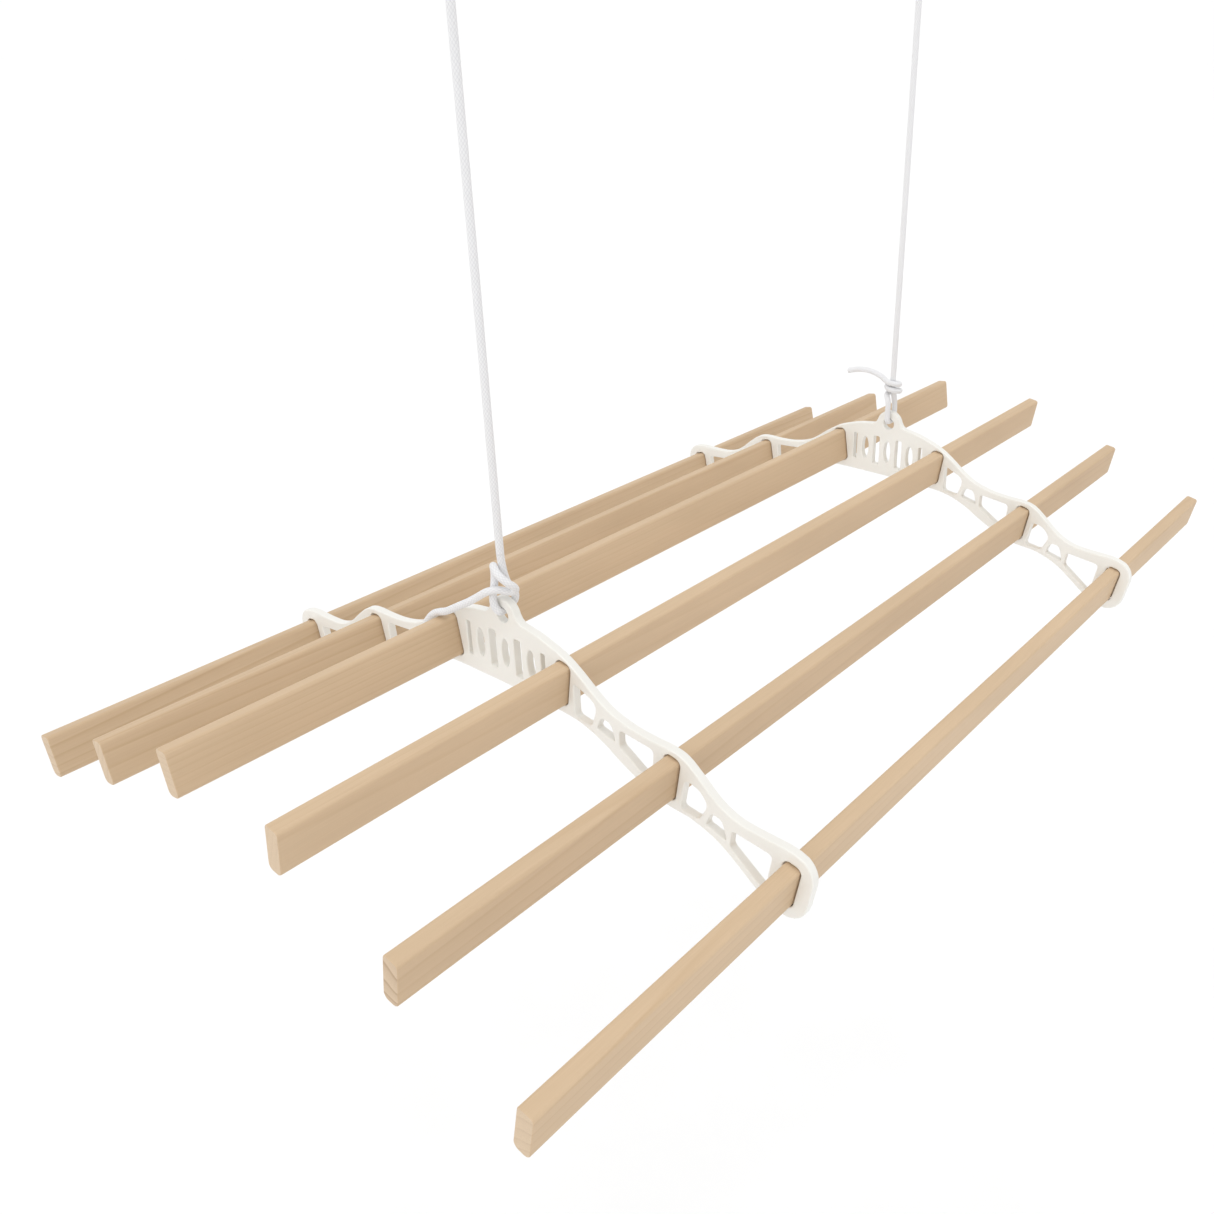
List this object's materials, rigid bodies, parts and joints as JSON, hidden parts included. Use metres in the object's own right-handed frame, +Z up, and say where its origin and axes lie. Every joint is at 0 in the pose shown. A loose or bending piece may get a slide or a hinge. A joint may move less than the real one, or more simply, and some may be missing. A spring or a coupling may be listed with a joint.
{
  "type": "ceiling mounted pulley rack",
  "caption": "Hanging clothes rack: rounded wooden laths through cast rack ends, hung on cords that run over a single and a double ceiling pulley, so that the rack lifts and tips.",
  "frame": {"origin": "on the ceiling plane, over the middle of the rack", "axes": "+X across the laths, +Y along the laths, +Z up"},
  "size_m": [0.7198, 1.31, 0.8669],
  "materials": {
    "cream_paint": "cream gloss paint over cast iron",
    "pine": "planed, lightly sealed softwood",
    "white_cord": "fine white braid",
    "axle_steel": "plain steel pin"
  },
  "bodies": {
    "ceiling_gear": {"single_pulley_bracket": "cream_paint", "single_pulley_axle": "axle_steel", "double_pulley_bracket": "cream_paint", "double_pulley_axle": "axle_steel", "near_drop_cord": "white_cord", "far_drop_cord": "white_cord", "near_haul_cord": "white_cord", "far_haul_cord": "white_cord", "joining_knot": "white_cord"},
    "single_sheave": {"single_pulley_sheave": "cream_paint"},
    "double_sheave_near": {"double_pulley_sheave_near": "cream_paint"},
    "double_sheave_far": {"double_pulley_sheave_far": "cream_paint"},
    "eye_knots": {"near_eye_knot": "white_cord", "far_eye_knot": "white_cord", "far_tail": "white_cord"},
    "rack": {"near_rack_end": "cream_paint", "far_rack_end": "cream_paint", "lath_1": "pine", "lath_2": "pine", "lath_3": "pine", "lath_4": "pine", "lath_5": "pine", "lath_6": "pine", "near_tail": "white_cord"}
  },
  "joints": [
    {"name": "rack_lift", "type": "slide", "parent": "ceiling_gear", "child": "eye_knots", "axis": [0, 0, 1], "range_m": [0, 0.5], "deforming": ["near_drop_cord", "far_drop_cord"]},
    {"name": "rack_tilt", "type": "hinge", "parent": "eye_knots", "child": "rack", "pos_m": [0, 0, -0.6852], "axis": [0, 1, 0], "range_deg": [-15, 15]},
    {"name": "single_sheave_spin", "type": "hinge", "parent": "ceiling_gear", "child": "single_sheave", "pos_m": [0, 0.33575, -0.044], "axis": [1, 0, 0], "continuous": true},
    {"name": "double_sheave_near_spin", "type": "hinge", "parent": "ceiling_gear", "child": "double_sheave_near", "pos_m": [0, -0.37225, -0.044], "axis": [1, 0, 0], "continuous": true},
    {"name": "double_sheave_far_spin", "type": "hinge", "parent": "ceiling_gear", "child": "double_sheave_far", "pos_m": [0.0162, -0.37225, -0.044], "axis": [1, 0, 0], "continuous": true}
  ],
  "couplings": [
    {"joint": "single_sheave_spin", "follows": "rack_lift", "rad_per_m": 54.794},
    {"joint": "double_sheave_near_spin", "follows": "rack_lift", "rad_per_m": 54.794},
    {"joint": "double_sheave_far_spin", "follows": "rack_lift", "rad_per_m": 54.794}
  ]
}
